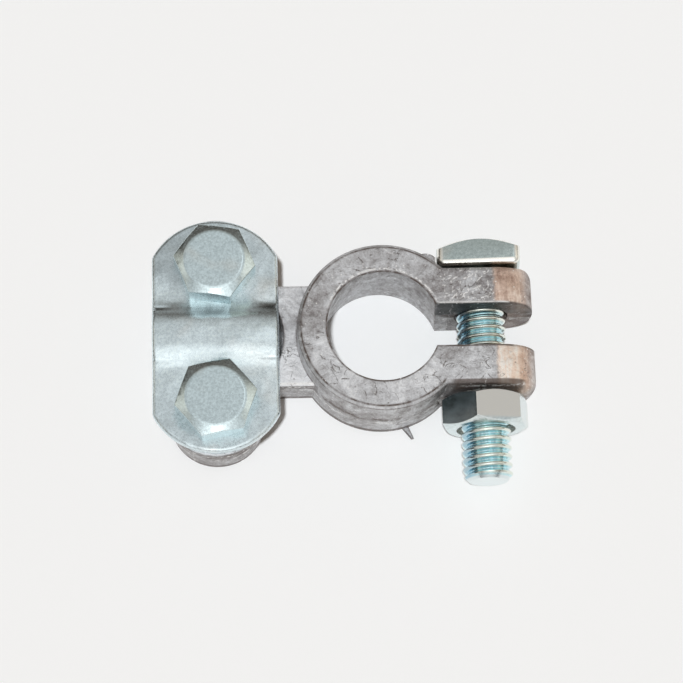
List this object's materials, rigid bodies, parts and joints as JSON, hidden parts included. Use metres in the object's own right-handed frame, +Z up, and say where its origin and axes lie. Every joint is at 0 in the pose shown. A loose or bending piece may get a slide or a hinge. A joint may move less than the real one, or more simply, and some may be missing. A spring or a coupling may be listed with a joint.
{
  "type": "battery terminal clamp",
  "caption": "Cast lead clamp with a split ring and clamping bolt for a tapered battery post, and a bolted strap over a cable groove.",
  "frame": {"origin": "on the axis of the tapered post bore, at the underside of the casting", "axes": "+X from the bore axis to the jaws, -X to the cable strap, +Z up out of the bore's narrow end, clamp bolt along Y with its head on the +Y side"},
  "size_m": [0.0613, 0.0437, 0.016],
  "materials": {
    "cast_lead": "dull grey cast lead, mottled and scratched",
    "strap_zinc": "bright zinc plating on sheet steel",
    "bolt_zinc": "bright blue-clear zinc plating"
  },
  "bodies": {
    "body": {"clamp_body": "cast_lead"},
    "strap": {"cable_strap": "strap_zinc"},
    "front_screw": {"cable_bolt_front": "bolt_zinc"},
    "rear_screw": {"cable_bolt_rear": "bolt_zinc"},
    "bolt": {"clamp_bolt": "bolt_zinc"},
    "nut": {"clamp_nut": "bolt_zinc"}
  },
  "joints": [
    {"name": "strap_lift", "type": "slide", "parent": "body", "child": "strap", "axis": [0, 0, 1], "range_m": [0, 0.005]},
    {"name": "front_screw_turn", "type": "hinge", "parent": "strap", "child": "front_screw", "pos_m": [-0.0267, -0.01125, 0.0116], "axis": [0, 0, 1], "range_deg": [0, 1417.5]},
    {"name": "rear_screw_turn", "type": "hinge", "parent": "strap", "child": "rear_screw", "pos_m": [-0.0267, 0.01125, 0.0116], "axis": [0, 0, 1], "range_deg": [0, 1417.5]},
    {"name": "nut_turn", "type": "hinge", "parent": "body", "child": "nut", "pos_m": [0.0162, -0.01025, 0.0073], "axis": [0, -1, 0], "range_deg": [0, 2041]},
    {"name": "bolt_slide", "type": "slide", "parent": "body", "child": "bolt", "axis": [0, 1, 0], "range_m": [0, 0.008]}
  ],
  "couplings": [
    {"joint": "front_screw_turn", "follows": "strap_lift", "rad_per_m": 4947.4},
    {"joint": "rear_screw_turn", "follows": "strap_lift", "rad_per_m": 4947.4},
    {"joint": "nut_turn", "follows": "bolt_slide", "rad_per_m": 4452.7}
  ]
}
